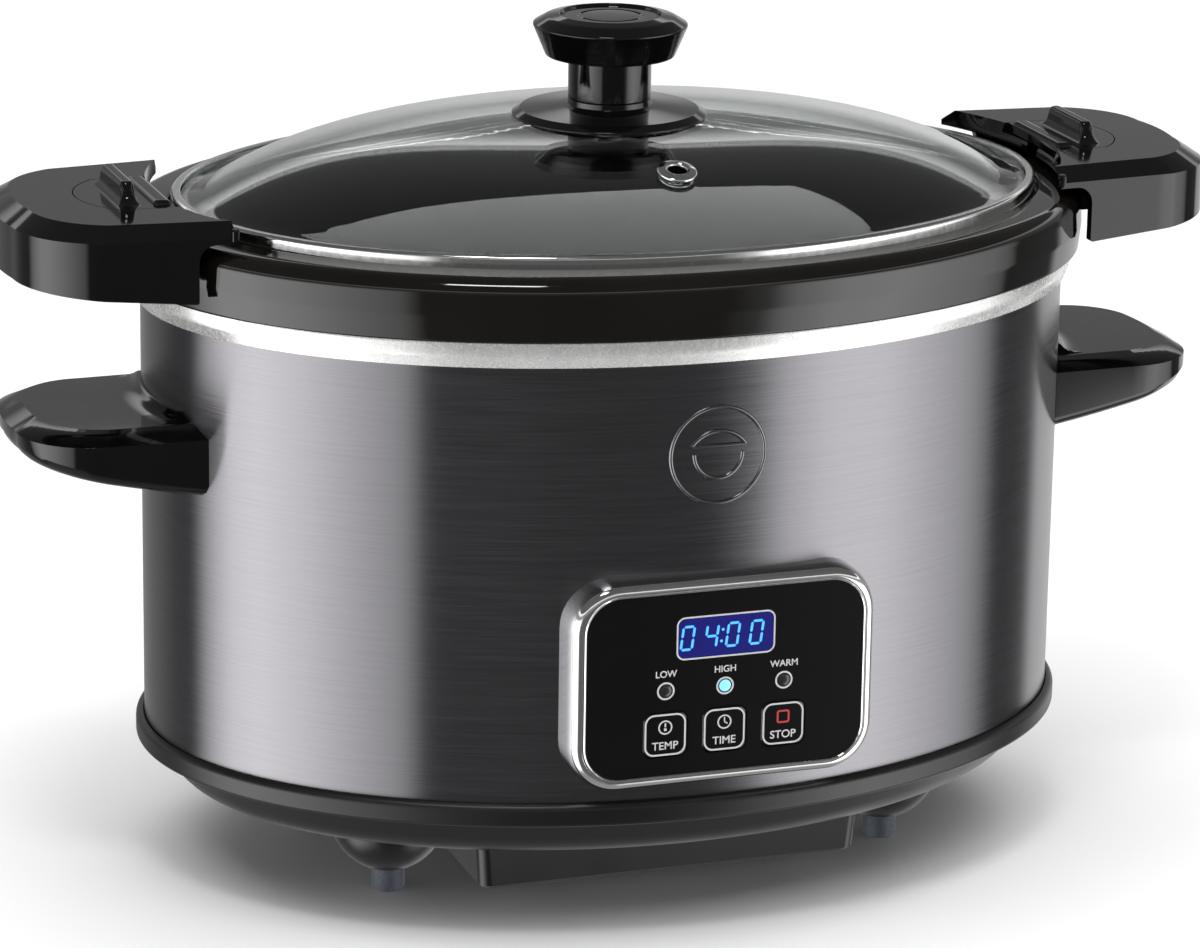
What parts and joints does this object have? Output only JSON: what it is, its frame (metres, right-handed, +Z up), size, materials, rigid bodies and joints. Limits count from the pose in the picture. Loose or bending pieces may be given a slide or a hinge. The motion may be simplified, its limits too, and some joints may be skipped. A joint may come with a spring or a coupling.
{
  "type": "slow cooker",
  "caption": "Oval slow cooker with a dark steel body, lift-out crock, domed glass lid, sliding lid latches, carry handles and a push-key digital panel.",
  "frame": {"origin": "on the ground under the middle of the body", "axes": "+Z up, +X along the long side to the viewer's right, front with the control panel towards -Y"},
  "size_m": [0.434, 0.253, 0.296],
  "materials": {
    "black_steel": "brushed dark stainless",
    "base_plastic": "satin moulded",
    "liner_metal": "rolled bright sheet",
    "heater_wrap": "foil wrapped",
    "zinc_steel": "zinc plated",
    "sensor_metal": "plain",
    "circuit_board": "solder mask",
    "black_parts": "matte",
    "foot_rubber": "matte",
    "gloss_handle": "high gloss",
    "matte_inner": "matte",
    "chrome_trim": "polished",
    "panel_gloss": "gloss",
    "display_lens": "tinted, lit from behind",
    "lamp_lens": "tinted",
    "lamp_lit": "tinted, lit",
    "crock_glaze": "black glaze",
    "lid_glass": "tempered, clear"
  },
  "bodies": {
    "cooker_body": {"outer_shell": "black_steel", "base_tray": "base_plastic", "heating_liner": "liner_metal", "heater_band": "heater_wrap", "liner_studs": "zinc_steel", "base_nuts": "zinc_steel", "temperature_sensor": "sensor_metal", "thermal_fuse": "sensor_metal", "underside_housing": "base_plastic", "housing_screws": "zinc_steel", "power_board": "circuit_board", "power_relay": "black_parts", "cord_gland": "base_plastic", "foot_front_left": "foot_rubber", "foot_front_right": "foot_rubber", "foot_rear_left": "foot_rubber", "foot_rear_right": "foot_rubber", "carry_handle_left": "gloss_handle", "carry_handle_right": "gloss_handle", "carry_back_plate_left": "zinc_steel", "carry_back_plate_right": "zinc_steel", "carry_handle_screws": "zinc_steel", "control_bezel": "chrome_trim", "control_fascia": "panel_gloss", "display_window": "display_lens", "display_module": "black_parts", "control_board": "circuit_board", "control_housing": "black_parts", "board_screws": "zinc_steel", "key_switches": "black_parts", "lamp_low": "lamp_lens", "lamp_high": "lamp_lit", "lamp_warm": "lamp_lens"},
    "crock": {"crock": "crock_glaze", "lock_handle_left": "gloss_handle", "lock_handle_right": "gloss_handle", "handle_retainer_left": "matte_inner", "handle_retainer_right": "matte_inner", "retainer_screws": "zinc_steel"},
    "lid": {"lid_glass": "lid_glass", "lid_ring": "chrome_trim", "vent_grommet": "chrome_trim", "knob_base": "gloss_handle", "knob": "gloss_handle", "knob_insert": "gloss_handle", "knob_bolt": "zinc_steel", "knob_washer": "foot_rubber"},
    "latch_left": {"lid_latch_left": "gloss_handle"},
    "latch_right": {"lid_latch_right": "gloss_handle"},
    "temp_key": {"key_temp": "panel_gloss"},
    "time_key": {"key_time": "panel_gloss"},
    "stop_key": {"key_stop": "panel_gloss"}
  },
  "joints": [
    {"name": "crock_lift", "type": "slide", "parent": "cooker_body", "child": "crock", "axis": [0, 0, 1], "range_m": [0, 0.19]},
    {"name": "lid_lift", "type": "slide", "parent": "crock", "child": "lid", "axis": [0, 0, 1], "range_m": [0, 0.12]},
    {"name": "latch_left_slide", "type": "slide", "parent": "crock", "child": "latch_left", "axis": [1, 0, 0], "range_m": [0, 0.012]},
    {"name": "latch_right_slide", "type": "slide", "parent": "crock", "child": "latch_right", "axis": [-1, 0, 0], "range_m": [0, 0.012]},
    {"name": "temp_press", "type": "slide", "parent": "cooker_body", "child": "temp_key", "axis": [0, 1, 0], "range_m": [0, 0.0006], "stiffness_N_per_m": 1500},
    {"name": "time_press", "type": "slide", "parent": "cooker_body", "child": "time_key", "axis": [0, 1, 0], "range_m": [0, 0.0006], "stiffness_N_per_m": 1500},
    {"name": "stop_press", "type": "slide", "parent": "cooker_body", "child": "stop_key", "axis": [0, 1, 0], "range_m": [0, 0.0006], "stiffness_N_per_m": 1500}
  ]
}
